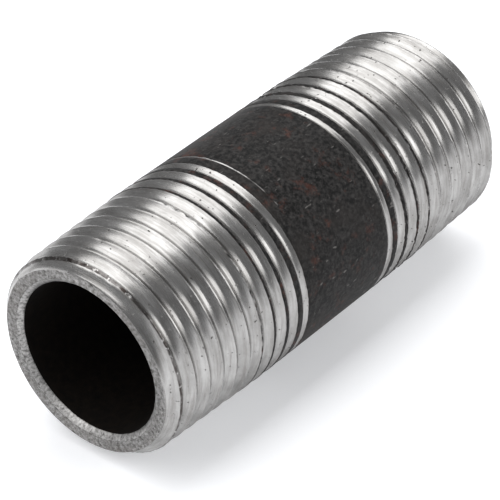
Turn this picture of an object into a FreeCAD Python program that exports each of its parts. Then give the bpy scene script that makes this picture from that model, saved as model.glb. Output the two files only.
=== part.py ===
"""Threaded pipe nipple: one length of steel pipe with a tapered pipe thread cut on each end.

Frame: the pipe's axis is X, +Z is up, and the origin is on the axis at mid-length. All in millimetres.
A depth is measured along the axis from an end face, towards the middle of the pipe.
"""
import FreeCAD, Part
import math
import os

# Driving dimensions
LENGTH = 50.0
PIPE_RADIUS = 21.34 / 2
BORE_RADIUS = 15.6 / 2
FACE_RADIUS = 9.4           # outer radius of each flat end face, where the lead-in chamfer starts
BORE_CHAMFER = 0.5
LEAD_CHAMFER_DEG = 45.0

# Half-inch taper pipe thread, 14 turns to the inch
PITCH = 25.4 / 14
TAPER = 1 / 32              # rise in radius for each unit of length: 1 in 16 on the diameter
FLANK_DEG = 30.0            # each flank leans this far from square to the axis
PITCH_RADIUS = 9.632        # radius of the pitch cone at the end face
CREST_FLAT = 0.18
ROOT_FLAT = 0.12
FULL_THREAD = 12.0          # depth to which the groove's floor keeps to its cone
RUN_OUT = 8.1               # further depth over which the floor climbs to the pipe's surface
RUN_OUT_POWER = 4           # a high power keeps the groove deep, then brings it out quickly

# Where a thread crest crosses the top of the pipe, as a depth from that end's face
NEAR_CREST_DEPTH = 2.6
FAR_CREST_DEPTH = 18.1

# The cutter that leaves the groove
LEAD_IN_TURNS = 1.5         # turns that the cutter starts ahead of the end face
PAST_RUN_OUT = 0.15         # depth that the cutter goes on for after its floor has left the metal
OVERSHOOT = 0.08            # how far the cutter stands out of the crests
STEPS_PER_TURN = 24         # points that fix each turn's curves
STEPS_SHARED = 4            # points shared with the next turn's curve, so that the two run on smoothly

TAN_FLANK = math.tan(math.radians(FLANK_DEG))
SHARP_HEIGHT = PITCH / (2 * TAN_FLANK)
CREST_RADIUS = PITCH_RADIUS + SHARP_HEIGHT / 2 - CREST_FLAT / (2 * TAN_FLANK)
ROOT_RADIUS = PITCH_RADIUS - SHARP_HEIGHT / 2 + ROOT_FLAT / (2 * TAN_FLANK)


def blank():
    """The pipe before threading: bored, chamfered, and turned to the thread's crest cone at each end."""
    slope = math.tan(math.radians(LEAD_CHAMFER_DEG))
    chamfer_depth = (CREST_RADIUS - FACE_RADIUS) / (slope - TAPER)
    chamfer_radius = FACE_RADIUS + slope * chamfer_depth
    cone_end = (PIPE_RADIUS - CREST_RADIUS) / TAPER
    half_profile = [
        (BORE_CHAMFER, BORE_RADIUS),
        (0.0, BORE_RADIUS + BORE_CHAMFER),
        (0.0, FACE_RADIUS),
        (chamfer_depth, chamfer_radius),
        (cone_end, PIPE_RADIUS),
    ]
    near = [FreeCAD.Vector(depth - LENGTH / 2, 0, radius) for depth, radius in half_profile]
    far = [FreeCAD.Vector(-point.x, 0, point.z) for point in reversed(near)]
    outline = Part.makePolygon(near + far + near[:1])
    return Part.Face(outline).revolve(FreeCAD.Vector(), FreeCAD.Vector(1, 0, 0), 360)


def floor_radius(depth):
    """Radius of the groove's floor: a cone, then a climb that passes out through the pipe's surface."""
    cone = ROOT_RADIUS + TAPER * depth
    climbed = max(0.0, (depth - FULL_THREAD) / RUN_OUT) ** RUN_OUT_POWER
    return PIPE_RADIUS - (PIPE_RADIUS - cone) * (1 - climbed)


def mouth_radius(depth):
    """Radius of the cutter's outer side, just clear of the crests."""
    return CREST_RADIUS + TAPER * depth + OVERSHOOT


def groove_corners(crest_depth, turn):
    """The cutter's four corners at this turn, counted from the crest named by crest_depth."""
    depth = crest_depth + PITCH * (turn - 0.5)
    angle = 2 * math.pi * turn
    half_floor = ROOT_FLAT / 2
    half_mouth = half_floor + TAN_FLANK * (mouth_radius(depth) - floor_radius(depth))
    corners = []
    for radius, side in (
        (floor_radius(depth), -half_floor),
        (floor_radius(depth), half_floor),
        (mouth_radius(depth), half_mouth),
        (mouth_radius(depth), -half_mouth),
    ):
        x = depth + side - LENGTH / 2
        corners.append(FreeCAD.Vector(x, -radius * math.sin(angle), radius * math.cos(angle)))
    return corners


def cutter_faces(crest_depth, start, end):
    """The cutter's four helical faces from one turn count to another, at most a turn later."""
    steps = range(-STEPS_SHARED, round((end - start) * STEPS_PER_TURN) + STEPS_SHARED + 1)
    turns = [start + step / STEPS_PER_TURN for step in steps]
    sections = [groove_corners(crest_depth, turn) for turn in turns]
    edges = []
    for corner in range(4):
        curve = Part.BSplineCurve()
        curve.interpolate(Points=[section[corner] for section in sections], Parameters=turns)
        curve.segment(start, end)
        edges.append(curve.toShape())
    return [Part.makeRuledSurface(edges[i], edges[(i + 1) % 4]) for i in range(4)]


def thread_cutter(crest_depth):
    """The V-shaped helical solid that the die takes out of the end at -X."""
    # The turns start opposite the blank's own seam, which is at the top.
    first = round(-crest_depth / PITCH - LEAD_IN_TURNS) + 0.5
    turns_needed = (FULL_THREAD + RUN_OUT + PAST_RUN_OUT - crest_depth) / PITCH + 0.5 - first
    last = first + math.ceil(turns_needed * STEPS_PER_TURN) / STEPS_PER_TURN
    joins = [first + i for i in range(math.ceil(turns_needed))] + [last]
    faces = []
    for start, end in zip(joins, joins[1:]):
        faces += cutter_faces(crest_depth, start, end)
    for turn in (first, last):
        corners = groove_corners(crest_depth, turn)
        faces.append(Part.Face(Part.makePolygon(corners + corners[:1])))
    shell = Part.makeShell(faces)
    shell.sewShape()
    solid = Part.makeSolid(shell)
    if solid.Volume < 0:
        solid.reverse()
    return solid


def nipple():
    """The finished pipe: the blank less one right-hand thread groove at each end."""
    near = thread_cutter(NEAR_CREST_DEPTH)
    far = thread_cutter(FAR_CREST_DEPTH)
    far.rotate(FreeCAD.Vector(), FreeCAD.Vector(0, 0, 1), 180)
    return blank().cut(near).cut(far)


os.makedirs("parts", exist_ok=True)
body = nipple()
body.exportStep("parts/threaded_nipple.step")
print("valid:", body.isValid(), "solids:", len(body.Solids), "faces:", len(body.Faces))
print("volume in mm3:", round(body.Volume, 1), "box:", body.BoundBox)
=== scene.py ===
"""Half-inch threaded pipe nipple, lying on its side on a pale floor.

The frame is the CAD model's: the pipe's axis is X, +Z is up, and the origin is on the axis at mid-length.
The steel is shaped in millimetres, like the CAD model, and scaled to metres when its mesh is made.
A depth is measured along the axis from an end face. An angle is measured from the top of the pipe,
towards the side where the thread goes deeper as it turns.
"""
import math

import bmesh
import bpy
import numpy as np
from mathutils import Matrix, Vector, noise


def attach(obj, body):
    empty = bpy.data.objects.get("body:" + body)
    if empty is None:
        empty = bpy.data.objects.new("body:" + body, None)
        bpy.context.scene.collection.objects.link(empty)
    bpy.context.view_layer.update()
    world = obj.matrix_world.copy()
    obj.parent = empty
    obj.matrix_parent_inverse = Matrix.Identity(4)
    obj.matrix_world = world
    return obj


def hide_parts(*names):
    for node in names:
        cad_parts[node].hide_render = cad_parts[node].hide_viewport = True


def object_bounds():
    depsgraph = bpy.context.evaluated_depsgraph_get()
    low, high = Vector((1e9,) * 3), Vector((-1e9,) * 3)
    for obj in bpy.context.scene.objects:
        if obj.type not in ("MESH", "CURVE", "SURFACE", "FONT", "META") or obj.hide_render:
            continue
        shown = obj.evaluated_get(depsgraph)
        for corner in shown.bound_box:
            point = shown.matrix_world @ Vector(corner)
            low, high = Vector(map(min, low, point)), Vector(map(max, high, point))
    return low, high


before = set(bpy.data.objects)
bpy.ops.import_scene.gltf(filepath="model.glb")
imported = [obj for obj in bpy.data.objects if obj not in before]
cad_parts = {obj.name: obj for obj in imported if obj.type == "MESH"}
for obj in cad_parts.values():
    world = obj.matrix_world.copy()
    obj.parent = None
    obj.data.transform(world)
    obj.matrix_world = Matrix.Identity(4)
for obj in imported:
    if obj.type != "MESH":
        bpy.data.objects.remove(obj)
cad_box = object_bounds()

MM = 0.001
NODE = "threaded_nipple"

# The pipe, as the CAD model has it, in millimetres
LENGTH = 50.0
PIPE_RADIUS = 10.67
BORE_RADIUS = 7.8
FACE_RADIUS = 9.4
BORE_CHAMFER = 0.5
PITCH = 25.4 / 14
TAPER = 1 / 32
TAN_FLANK = math.tan(math.radians(30))
SHARP_HEIGHT = PITCH / (2 * TAN_FLANK)
PITCH_RADIUS = 9.632
CREST_FLAT = 0.18
ROOT_FLAT = 0.12
CREST_RADIUS = PITCH_RADIUS + SHARP_HEIGHT / 2 - CREST_FLAT / (2 * TAN_FLANK)
ROOT_RADIUS = PITCH_RADIUS - SHARP_HEIGHT / 2 + ROOT_FLAT / (2 * TAN_FLANK)
FULL_THREAD = 12.0
RUN_OUT = 8.1
RUN_OUT_POWER = 4
NEAR_CREST_DEPTH = 2.6
FAR_CREST_DEPTH = 18.1 - 9 * PITCH      # the same crest as the CAD's, named nine turns nearer the face

# The mesh of the steel
COLUMNS = 232               # steps round the pipe
THREAD_END = 21.0           # depth where the rows that follow the thread give way to plain rings
SNAP = 0.03                 # a row this close to either end of the thread joins that end's ring
CORNER = 0.03               # how far from a sharp corner its neighbouring rows lie
SOFTNESS = 0.02             # rounding where two surfaces of the thread meet
LEAST_SPREAD = 0.2          # the narrowest that a groove's rows draw together
WELD_M = 1e-7               # vertices this close become one, in metres

# The cut groove is a hollow with this share of the nominal V's depth. It is deepest at the pipe's end.
HOLLOW_SHARE = 0.40
HOLLOW_SHARE_AT_END = 0.85
HOLLOW_FADE = 1.2           # depth over which the extra hollow at the end dies away

# Roughness of the metal
LIP = 0.014                 # height of the lip that the die rolls up on a crest's edge
LIP_WIDTH = 1.2 * CORNER
NICK = 0.06                 # depth of the dents in the crests
SWAY = 0.006                # slow waviness of the whole thread
FADE_IN = 0.6               # depth over which the roughness starts at the end face
FADE_OUT = 2.0              # and over which it stops, the same distance short of THREAD_END
DIRTY_TEAR = 0.1            # crests torn this deeply are as dirty as they get
LEAST_DIRT = 0.2
RIM_RIPPLE = 0.02
FACE_RIPPLE = 0.03
RIPPLE_PATCH = 0.9


# ---------------------------------------------------------------- shape of the threaded end

def floor_radius(depth):
    """The groove's floor: a cone, then a climb out through the pipe's surface."""
    climbed = np.maximum(0.0, (depth - FULL_THREAD) / RUN_OUT) ** RUN_OUT_POWER
    return PIPE_RADIUS - (PIPE_RADIUS - ROOT_RADIUS - TAPER * depth) * (1 - climbed)


def crest_radius(depth):
    """The crests: a cone as far as the pipe's own surface."""
    return np.minimum(CREST_RADIUS + TAPER * depth, PIPE_RADIUS)


def hollow_radius(depth, offset, half_mouth):
    """The cut surface at some distance from a groove's middle, as a shallow curve between two crests."""
    near_end = np.exp(-np.maximum(depth, 0) / HOLLOW_FADE)
    share = HOLLOW_SHARE + (HOLLOW_SHARE_AT_END - HOLLOW_SHARE) * near_end
    full = share * np.maximum(0, crest_radius(depth) - floor_radius(depth))
    return crest_radius(depth) - full * (1 - (offset / half_mouth) ** 2)


def soft_min(a, b):
    """The smaller of two radii, with a rounded corner where they cross."""
    gap = np.maximum(SOFTNESS * 2 - np.abs(a - b), 0) / (SOFTNESS * 2)
    return np.minimum(a, b) - gap ** 2 * SOFTNESS / 2


def wave(x, y, z, scale, seed):
    """Smooth noise, mostly from -1 to 1, at points in millimetres. scale is the size of its patches."""
    points = np.stack([x, y, z], axis=-1) / scale
    flat = points.reshape(-1, 3)
    values = [noise.noise(Vector(p) + Vector((seed, seed * 0.7, -seed))) for p in flat]
    spread_out = 1.6            # the noise itself seldom goes past 0.6
    return np.array(values).reshape(x.shape) * spread_out


def mouth_width(centre):
    """Half of the groove's width where it opens between the crests."""
    depth_of_cut = crest_radius(centre) - floor_radius(centre)
    return np.maximum(ROOT_FLAT / 2, ROOT_FLAT / 2 + TAN_FLANK * depth_of_cut)


def groove_rows(centre):
    """Distances of one groove's rows from its middle, given the middle's depth in each column."""
    half_mouth = mouth_width(centre)
    spread = np.clip(half_mouth, LEAST_SPREAD, PITCH / 2 - 2.2 * CORNER)
    side = [spread * part for part in (0.25, 0.5, 0.75)]
    side += [spread - np.minimum(3 * CORNER, 0.2 * spread), spread - np.minimum(CORNER, 0.07 * spread)]
    side += [spread, spread + CORNER]
    rows = [-np.full_like(centre, PITCH / 2)] + [-row for row in reversed(side)] + [0 * centre] + side
    return np.array(rows), half_mouth


def threaded_rows(crest_depth, seed, tearing):
    """Depth, radius and masks of every row that follows the thread, as arrays of rows by columns."""
    angle = 2 * math.pi * np.arange(COLUMNS) / COLUMNS
    first = math.floor(-crest_depth / PITCH) - 1
    last = math.ceil((THREAD_END - crest_depth) / PITCH) + 1
    depth, offset, mouth = [], [], []
    for k in range(first, last + 1):
        centre = crest_depth + PITCH * (k + 0.5 + angle / (2 * math.pi))
        rows, half_mouth = groove_rows(centre)
        depth.append(centre + rows)
        offset.append(np.abs(rows))
        mouth.append(np.tile(half_mouth, (len(rows), 1)))
    rows_per_turn = len(depth[0])
    depth, offset, mouth = (np.concatenate(part) for part in (depth, offset, mouth))
    angle = np.tile(angle, (len(depth), 1))
    radius, cut, crest = thread_surface(depth, angle, offset, mouth, seed, tearing)
    return rows_per_turn, depth, angle, radius, cut, crest


def thread_surface(depth, angle, offset, mouth, seed, tearing):
    """Radius of the threaded surface, how deep it is cut below the pipe's own, and where crests are."""
    chamfer = FACE_RADIUS + np.maximum(depth, 0)
    blank = soft_min(crest_radius(depth), chamfer)
    groove = hollow_radius(depth, offset, mouth)
    y, z = PIPE_RADIUS * np.sin(angle), PIPE_RADIUS * np.cos(angle)

    # The die rolls up a thin lip on each edge of a crest and drags bits out of it.
    on_crest = np.clip((offset - mouth + 2 * CORNER) / CORNER, 0, 1)
    edge = np.exp(-((offset - mouth - CORNER) / LIP_WIDTH) ** 2)
    threaded = np.clip((THREAD_END - FADE_OUT - depth) / FADE_OUT, 0, 1) * np.clip(depth / FADE_IN, 0, 1)
    lip = LIP * edge * np.clip(0.6 + wave(depth, y, z, 1.5, seed), 0, 1)
    tear = tearing(depth) * np.clip(wave(depth, y, z, 0.35, seed + 5), 0, 1)
    nick = NICK * np.clip(wave(depth, y, z, 1.1, seed + 9) - 0.5, 0, 1)
    sway = SWAY * wave(depth * 3, y, z, 3.5, seed + 13)
    radius = soft_min(blank, groove) + threaded * (lip - (tear + nick) * on_crest + sway)
    cut = np.maximum(0, PIPE_RADIUS - np.minimum(blank, groove))
    dirt = np.clip(tearing(depth) / DIRTY_TEAR, LEAST_DIRT, 1)
    return radius, cut, on_crest * threaded * dirt


# ---------------------------------------------------------------- one mesh for the whole pipe

class Steel:
    """Gathers vertices with their masks, and faces with their materials."""

    def __init__(self):
        self.points = []
        self.masks = []
        self.faces = []
        self.materials = []

    def add(self, x, y, z, cut, crest):
        self.points.append((x * MM, y * MM, z * MM))
        self.masks.append((cut, crest))
        return len(self.points) - 1

    def face(self, corners, material):
        distinct = [c for i, c in enumerate(corners) if c != corners[i - 1]]
        if len(set(distinct)) >= 3:
            self.faces.append(distinct)
            self.materials.append(material)


OUTER, FACE, CHAMFER, BORE = range(4)


def ring(steel, place, depth, radii, cut=0.0, ripple=0.0, seed=0):
    """A plain ring of vertices square to the axis. radii is one number, or one for each column."""
    ids = []
    for column, radius in enumerate(np.broadcast_to(radii, COLUMNS)):
        angle = 2 * math.pi * column / COLUMNS
        spot = Vector((depth, radius * math.sin(angle), radius * math.cos(angle)))
        grown = radius + ripple * noise.noise(spot / RIPPLE_PATCH + Vector((seed, 0, 0)))
        ids.append(steel.add(*place(depth, angle, grown), cut, 0.0))
    return ids


def rim_radii(crest_depth):
    """Outer edge of the end face: round, but for the notch where the groove runs out through it."""
    angle = 2 * math.pi * np.arange(COLUMNS) / COLUMNS
    radii = np.full(COLUMNS, FACE_RADIUS)
    first = math.floor(-crest_depth / PITCH) - 1
    for k in range(first, first + 4):
        centre = crest_depth + PITCH * (k + 0.5 + angle / (2 * math.pi))
        radii = np.minimum(radii, hollow_radius(0.0, np.abs(centre), mouth_width(0.0)))
    return radii


def join_rings(steel, one, other, material):
    """Faces between two rings of vertices, column by column."""
    for column in range(COLUMNS):
        after = (column + 1) % COLUMNS
        steel.face([one[column], one[after], other[after], other[column]], material)


def threaded_end(steel, place, crest_depth, seed, tearing):
    """Adds one half of the pipe, from its end face to mid-length."""
    rim_edge = rim_radii(crest_depth)
    rim = ring(steel, place, 0.0, rim_edge, 1.0, RIM_RIPPLE, seed)
    shoulder = ring(steel, place, THREAD_END, PIPE_RADIUS)
    thread_faces(steel, place, threaded_rows(crest_depth, seed, tearing), rim, shoulder)

    outer = shoulder
    for depth in np.linspace(THREAD_END, LENGTH / 2, 10)[1:]:
        following = ring(steel, place, depth, PIPE_RADIUS)
        join_rings(steel, outer, following, OUTER)
        outer = following

    inner = rim
    lip_radius = BORE_RADIUS + BORE_CHAMFER
    for share, dip in ((0.08, 0.0), (0.35, 0.015), (0.62, 0.005), (0.9, 0.012)):
        across = rim_edge + share * (lip_radius - rim_edge)
        following = ring(steel, place, dip, across, 1.0, FACE_RIPPLE, seed)
        join_rings(steel, inner, following, FACE)
        inner = following
    bore_rings = [
        (0.0, lip_radius + 0.03, FACE),
        (0.04, lip_radius - 0.04, FACE),
        (0.25, lip_radius - 0.25, CHAMFER),
        (BORE_CHAMFER - 0.04, BORE_RADIUS + 0.04, CHAMFER),
        (BORE_CHAMFER + 0.05, BORE_RADIUS, CHAMFER),
    ]
    bore_rings += [(depth, BORE_RADIUS, BORE) for depth in (1.0, 2.0, 4.0, 8.0, 15.0, LENGTH / 2)]
    for depth, radius, material in bore_rings:
        ripple = 0.0 if material == BORE else FACE_RIPPLE
        following = ring(steel, place, depth, radius, 1.0, ripple, seed)
        join_rings(steel, inner, following, material)
        inner = following


def thread_faces(steel, place, rows, rim, shoulder):
    """Adds the rows that follow the thread, gathered into the rim and the shoulder where they pass them."""
    per_turn, depth, angle, radius, cut, crest = rows
    ids = np.empty(depth.shape, int)
    for row, column in np.ndindex(depth.shape):
        if depth[row, column] < SNAP:
            ids[row, column] = rim[column]
        elif depth[row, column] > THREAD_END - SNAP:
            ids[row, column] = shoulder[column]
        else:
            spot = place(depth[row, column], angle[row, column], radius[row, column])
            ids[row, column] = steel.add(*spot, cut[row, column], crest[row, column])

    # Going once round, a row meets the row that started one turn later.
    following_turn = np.concatenate([ids, np.tile(shoulder, (per_turn, 1))])[per_turn:]
    for row in range(len(ids) - 1):
        for column in range(COLUMNS):
            if column < COLUMNS - 1:
                right = (ids[row, column + 1], ids[row + 1, column + 1])
            else:
                right = (following_turn[row, 0], following_turn[row + 1, 0])
            steel.face([ids[row, column], right[0], right[1], ids[row + 1, column]], OUTER)


def near_place(depth, angle, radius):
    """A point of the end at -X."""
    return depth - LENGTH / 2, -radius * math.sin(angle), radius * math.cos(angle)


def far_place(depth, angle, radius):
    """A point of the end at +X, which is the other end turned half round the vertical."""
    return LENGTH / 2 - depth, radius * math.sin(angle), radius * math.cos(angle)


def near_tearing(depth):
    """How deeply the crests are torn: mostly the first turn."""
    return 0.08 * np.clip((2.5 - depth) / 1.5, 0.15, 1)


def far_tearing(depth):
    """How deeply the crests are torn: mostly near the run-out."""
    return 0.03 + 0.13 * np.exp(-((depth - 15) / 3) ** 2)


def nipple_mesh():
    """The whole pipe as one closed mesh, with the masks that the materials read."""
    steel = Steel()
    threaded_end(steel, near_place, NEAR_CREST_DEPTH, 1.0, near_tearing)
    threaded_end(steel, far_place, FAR_CREST_DEPTH, 31.0, far_tearing)
    mesh = bpy.data.meshes.new("nipple_steel")
    mesh.from_pydata(steel.points, [], steel.faces)
    for name, index in (("cut", 0), ("crest", 1)):
        layer = mesh.attributes.new(name, "FLOAT", "POINT")
        layer.data.foreach_set("value", [mask[index] for mask in steel.masks])
    mesh.polygons.foreach_set("material_index", steel.materials)

    work = bmesh.new()
    work.from_mesh(mesh)
    bmesh.ops.remove_doubles(work, verts=work.verts, dist=WELD_M)
    bmesh.ops.recalc_face_normals(work, faces=work.faces)
    for face in work.faces:
        face.smooth = True
    triangles = sum(len(face.verts) - 2 for face in work.faces)
    open_edges = sum(1 for edge in work.edges if len(edge.link_faces) != 2)
    print("steel mesh:", triangles, "triangles,", open_edges, "open edges")
    work.to_mesh(mesh)
    work.free()
    return mesh


# ---------------------------------------------------------------- materials

class Nodes:
    """Short calls for building a material's nodes."""

    def __init__(self, name):
        self.material = bpy.data.materials.new(name)
        self.material.use_nodes = True
        self.tree = self.material.node_tree
        self.shader = self.tree.nodes["Principled BSDF"]

    def node(self, kind, **values):
        made = self.tree.nodes.new(kind)
        for key, value in values.items():
            setattr(made, key, value)
        return made

    def put(self, source, socket):
        """Gives a socket a number, a colour of three numbers, or another node's output."""
        if isinstance(source, (int, float)):
            socket.default_value = source
        elif isinstance(source, tuple):
            socket.default_value = (*source, 1)
        else:
            self.tree.links.new(source, socket)

    def math(self, kind, a, b):
        made = self.node("ShaderNodeMath", operation=kind)
        self.put(a, made.inputs[0])
        self.put(b, made.inputs[1])
        return made.outputs[0]

    def place(self, scale):
        """Object coordinates, stretched by a different number along each axis."""
        made = self.node("ShaderNodeMapping")
        self.put(self.node("ShaderNodeTexCoord").outputs["Object"], made.inputs["Vector"])
        made.inputs["Scale"].default_value = scale
        return made.outputs[0]

    def noise(self, scale, detail, rough, seed=0.0):
        """Noise from 0 to 1. scale holds the number of patches in a metre along X, Y and Z."""
        made = self.node("ShaderNodeTexNoise", noise_dimensions="4D")
        made.inputs["Scale"].default_value = 1.0
        made.inputs["Detail"].default_value = detail
        made.inputs["Roughness"].default_value = rough
        made.inputs["W"].default_value = seed
        self.put(self.place(scale), made.inputs["Vector"])
        return made.outputs["Fac"]

    def ramp(self, source, *stops):
        """Greys along a value. Each stop is a position and a grey."""
        made = self.node("ShaderNodeValToRGB")
        self.put(source, made.inputs[0])
        while len(made.color_ramp.elements) < len(stops):
            made.color_ramp.elements.new(0.5)
        for element, (position, grey) in zip(made.color_ramp.elements, stops):
            element.position = position
            element.color = (grey, grey, grey, 1)
        return made.outputs[0]

    def mix(self, amount, low, high):
        """From one colour to another."""
        made = self.node("ShaderNodeMix", data_type="RGBA")
        self.put(amount, made.inputs[0])
        self.put(low, made.inputs[6])
        self.put(high, made.inputs[7])
        return made.outputs[2]

    def blend(self, amount, low, high):
        """From one number to another."""
        made = self.node("ShaderNodeMix", data_type="FLOAT")
        self.put(amount, made.inputs[0])
        self.put(low, made.inputs[2])
        self.put(high, made.inputs[3])
        return made.outputs[0]

    def mask(self, name):
        """One of the mesh's own masks."""
        return self.node("ShaderNodeAttribute", attribute_name=name).outputs["Fac"]

    def bump(self, height, distance, strength):
        made = self.node("ShaderNodeBump")
        made.inputs["Strength"].default_value = strength
        made.inputs["Distance"].default_value = distance
        self.put(height, made.inputs["Height"])
        return made.outputs[0]

    def finish(self, **sockets):
        """Sets the shader's sockets, named with _ for each space."""
        for name, source in sockets.items():
            self.put(source, self.shader.inputs[name.replace("_", " ")])
        return self.material


def outer_steel():
    """Bright cut thread where metal was taken away, dark mill scale where the pipe's skin is left."""
    n = Nodes("thread_and_scale")

    # The edge of the cut: its depth in millimetres, made ragged
    ragged = n.noise((2500, 1500, 1500), 3, 0.6)
    depth = n.math("ADD", n.mask("cut"), n.math("MULTIPLY", n.math("SUBTRACT", ragged, 0.55), 0.10))
    bright = n.ramp(depth, (0.018, 0.0), (0.045, 1.0))

    # Cut steel: clouded, streaked round the pipe by the die, pitted, with dirt and bright specks on crests
    streaks = n.noise((5200, 260, 260), 4, 0.6, seed=2.0)
    cloud = n.ramp(n.noise((600, 350, 350), 4, 0.6, seed=3.0), (0.25, 0.0), (0.70, 1.0))
    steel = n.mix(cloud, (0.26, 0.254, 0.246), (0.48, 0.473, 0.464))
    steel = n.mix(n.ramp(streaks, (0.42, 0.0), (0.62, 0.5)), steel, (0.20, 0.19, 0.18))
    pits = n.ramp(n.noise((3300, 3300, 3300), 1, 0.4, seed=5.0), (0.712, 0.0), (0.745, 1.0))
    steel = n.mix(n.math("MULTIPLY", pits, 0.85), steel, (0.035, 0.03, 0.028))
    soil = n.ramp(n.noise((900, 900, 900), 3, 0.6, seed=7.0), (0.3, 0.4), (0.6, 1.0))
    tops = n.math("MULTIPLY", n.ramp(n.mask("crest"), (0.25, 0.0), (0.7, 1.0)), soil)
    steel = n.mix(tops, steel, (0.050, 0.042, 0.039))
    specks = n.ramp(n.noise((2600, 2600, 2600), 2, 0.5, seed=9.0), (0.60, 0.0), (0.66, 1.0))
    steel = n.mix(n.math("MULTIPLY", specks, n.mask("crest")), steel, (0.55, 0.54, 0.53))

    # Mill scale: mottled, flecked, scratched and spotted with rust
    grain = n.noise((2400, 2400, 2400), 4, 0.7, seed=11.0)
    patches = n.noise((240, 240, 240), 4, 0.6, seed=13.0)
    scale = n.mix(n.ramp(grain, (0.42, 0.0), (0.64, 1.0)), (0.002, 0.002, 0.002), (0.038, 0.036, 0.035))
    scale = n.mix(n.ramp(patches, (0.48, 0.0), (0.65, 0.5)), scale, (0.026, 0.022, 0.020))
    flecks = n.ramp(n.noise((5200, 4200, 4200), 3, 0.6, seed=17.0), (0.66, 0.0), (0.76, 0.8))
    scale = n.mix(flecks, scale, (0.20, 0.19, 0.18))
    scratches = n.ramp(n.noise((900, 6000, 1500), 1, 0.4, seed=18.0), (0.70, 0.0), (0.74, 0.5))
    scale = n.mix(scratches, scale, (0.22, 0.21, 0.20))
    rust = n.ramp(n.noise((480, 480, 480), 5, 0.75, seed=19.0), (0.56, 0.0), (0.72, 0.8))
    scale = n.mix(rust, scale, (0.085, 0.030, 0.020))

    rough_steel = n.blend(streaks, 0.18, 0.34)
    rough_scale = n.blend(grain, 0.45, 0.75)
    cut_height = n.math("SUBTRACT", n.math("MULTIPLY", streaks, 0.45), n.math("MULTIPLY", pits, 1.2))
    height = n.blend(bright, grain, cut_height)
    return n.finish(
        Base_Color=n.mix(bright, scale, steel),
        Metallic=bright,
        Specular_IOR_Level=0.12,
        Roughness=n.blend(bright, rough_scale, rough_steel),
        Normal=n.bump(height, 0.00006, 0.6),
    )


def face_steel():
    """The turned end face: dull grey with fine tool marks in rings round the axis."""
    n = Nodes("end_face_steel")
    from_axis = n.node("ShaderNodeVectorMath", operation="LENGTH")
    n.put(n.place((0, 1, 1)), from_axis.inputs[0])
    ring_noise = n.node("ShaderNodeTexNoise", noise_dimensions="1D")
    n.put(n.math("MULTIPLY", from_axis.outputs["Value"], 6500.0), ring_noise.inputs["W"])
    marks = ring_noise.outputs["Fac"]
    speckle = n.noise((2600, 2600, 2600), 4, 0.7)
    cloud = n.noise((500, 500, 500), 3, 0.6, seed=4.0)
    steel = n.mix(n.ramp(speckle, (0.36, 0.0), (0.66, 1.0)), (0.07, 0.065, 0.06), (0.64, 0.63, 0.62))
    steel = n.mix(n.ramp(cloud, (0.45, 0.0), (0.75, 0.45)), steel, (0.16, 0.14, 0.125))
    steel = n.mix(n.ramp(marks, (0.46, 0.0), (0.62, 0.75)), steel, (0.08, 0.075, 0.07))
    pits = n.ramp(n.noise((2900, 2900, 2900), 1, 0.4, seed=6.0), (0.70, 0.0), (0.74, 0.9))
    steel = n.mix(pits, steel, (0.03, 0.027, 0.025))
    return n.finish(
        Base_Color=steel,
        Metallic=0.9,
        Roughness=n.blend(speckle, 0.30, 0.56),
        Normal=n.bump(n.math("ADD", speckle, marks), 0.00009, 0.9),
    )


def chamfer_painted_highlight():
    """The small chamfer at each end of the bore: scraped bare metal, with its grey made bright as a painted
    highlight.
    """
    n = Nodes("bore_chamfer_painted_highlight")
    scrapes = n.noise((1500, 3500, 3500), 4, 0.7)
    bare_and_painted_highlight = n.ramp(scrapes, (0.35, 0.0), (0.6, 1.0))
    return n.finish(
        # The bright grey is partly scraped metal and partly a painted highlight on the chamfer.
        Base_Color=n.mix(bare_and_painted_highlight, (0.12, 0.115, 0.11), (0.52, 0.51, 0.50)),
        Metallic=0.8,
        Roughness=n.blend(scrapes, 0.28, 0.55),
        Normal=n.bump(scrapes, 0.00008, 0.8),
    )


def bore_scale_painted_shade():
    """Brown-black scale inside the pipe, with its colour made near black as painted shade of the bore."""
    n = Nodes("bore_scale_painted_shade")
    grain = n.noise((1500, 1500, 1500), 4, 0.65)
    worn = n.ramp(grain, (0.35, 0.0), (0.75, 1.0))
    return n.finish(
        # These near-black colours are partly dark scale and partly painted shade of the recess.
        Base_Color=n.mix(worn, (0.0015, 0.0010, 0.0008), (0.009, 0.006, 0.004)),
        Metallic=0.0,
        Specular_IOR_Level=0.15,
        Roughness=n.blend(grain, 0.75, 0.95),
        Normal=n.bump(grain, 0.0001, 0.6),
    )


def floor_paper():
    """Matt white paper on a table that is lit from below, which keeps the shadow faint."""
    return Nodes("floor_paper").finish(
        Base_Color=(0.80, 0.805, 0.82),
        Roughness=0.9,
        Emission_Color=(0.97, 0.98, 1.0),
        Emission_Strength=0.34,
    )


# ---------------------------------------------------------------- pieces, floor, lights and camera

def make_nipple():
    """The one piece: the pipe itself."""
    piece = bpy.data.objects.new("nipple", nipple_mesh())
    bpy.context.collection.objects.link(piece)
    for material in (outer_steel(), face_steel(), chamfer_painted_highlight(), bore_scale_painted_shade()):
        piece.data.materials.append(material)
    normals = piece.modifiers.new("normals", "WEIGHTED_NORMAL")
    normals.mode = "FACE_AREA"
    normals.weight = 80
    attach(piece, "root")
    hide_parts(NODE)


def make_floor():
    """A floor under the lowest point of the pipe, wide enough to fill every view."""
    bpy.ops.mesh.primitive_plane_add(size=4.0, location=(0, 0, cad_box[0][2]))
    floor = bpy.context.object
    floor.name = "floor"
    floor.data.materials.append(floor_paper())


def direction(azimuth, elevation):
    """Unit vector towards a bearing, in degrees from +X towards +Y, and a height above the horizon."""
    a, e = math.radians(azimuth), math.radians(elevation)
    return Vector((math.cos(e) * math.cos(a), math.cos(e) * math.sin(a), math.sin(e)))


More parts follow.
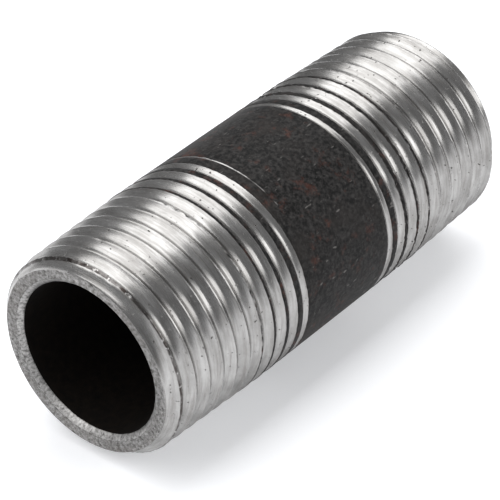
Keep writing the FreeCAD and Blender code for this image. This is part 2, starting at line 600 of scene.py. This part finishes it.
def area_light(name, location, width, height, power):
    """A softbox that faces the pipe and doesn't show to the camera. All its sizes are in metres."""
    data = bpy.data.lights.new(name, "AREA")
    data.shape = "RECTANGLE"
    data.size = width
    data.size_y = height
    data.energy = power
    light = bpy.data.objects.new(name, data)
    light.location = location
    light.rotation_euler = Vector(location).to_track_quat("Z", "Y").to_euler()
    light.visible_camera = False
    bpy.context.collection.objects.link(light)
    return light


def make_world():
    """A dim room that lights evenly from all round. The camera itself sees a pale backdrop instead."""
    room_level = 0.30
    backdrop_level = 1.0
    world = bpy.data.worlds.new("studio")
    world.use_nodes = True
    tree = world.node_tree
    background = tree.nodes["Background"]
    background.inputs["Color"].default_value = (0.97, 0.98, 1.0, 1)
    path = tree.nodes.new("ShaderNodeLightPath")
    level = tree.nodes.new("ShaderNodeMix")
    level.inputs[2].default_value = room_level
    level.inputs[3].default_value = backdrop_level
    tree.links.new(path.outputs["Is Camera Ray"], level.inputs[0])
    tree.links.new(level.outputs[0], background.inputs["Strength"])
    bpy.context.scene.world = world


def make_lights():
    """A long level softbox overhead, and a low one in front that leans over to one side."""
    overhead = area_light("overhead", (-0.02, 0.21, 0.45), 1.57, 0.54, 6.5)
    overhead.rotation_euler = (0, 0, 0)
    front_distance = 0.6
    front_lean = math.radians(-22)
    front = area_light("front", direction(308, 24) * front_distance, 0.80, 0.26, 1.5)
    front.rotation_euler.rotate_axis("Z", front_lean)


def make_camera():
    """A long lens that looks down along the pipe from beyond its end at -X."""
    azimuth, elevation, distance = -51.3, 36.27, 0.2697
    aim = Vector((-1.3, 0.1, -1.3)) * MM
    data = bpy.data.cameras.new("camera")
    data.sensor_width = 36
    data.lens = 204.9
    data.clip_start = 0.01
    camera = bpy.data.objects.new("camera", data)
    back = direction(azimuth - 90, elevation)
    camera.location = aim + back * distance
    camera.rotation_euler = back.to_track_quat("Z", "Y").to_euler()
    bpy.context.collection.objects.link(camera)
    bpy.context.scene.camera = camera


make_nipple()
make_floor()
make_world()
make_lights()
make_camera()
bpy.context.scene.view_settings.view_transform = "Standard"
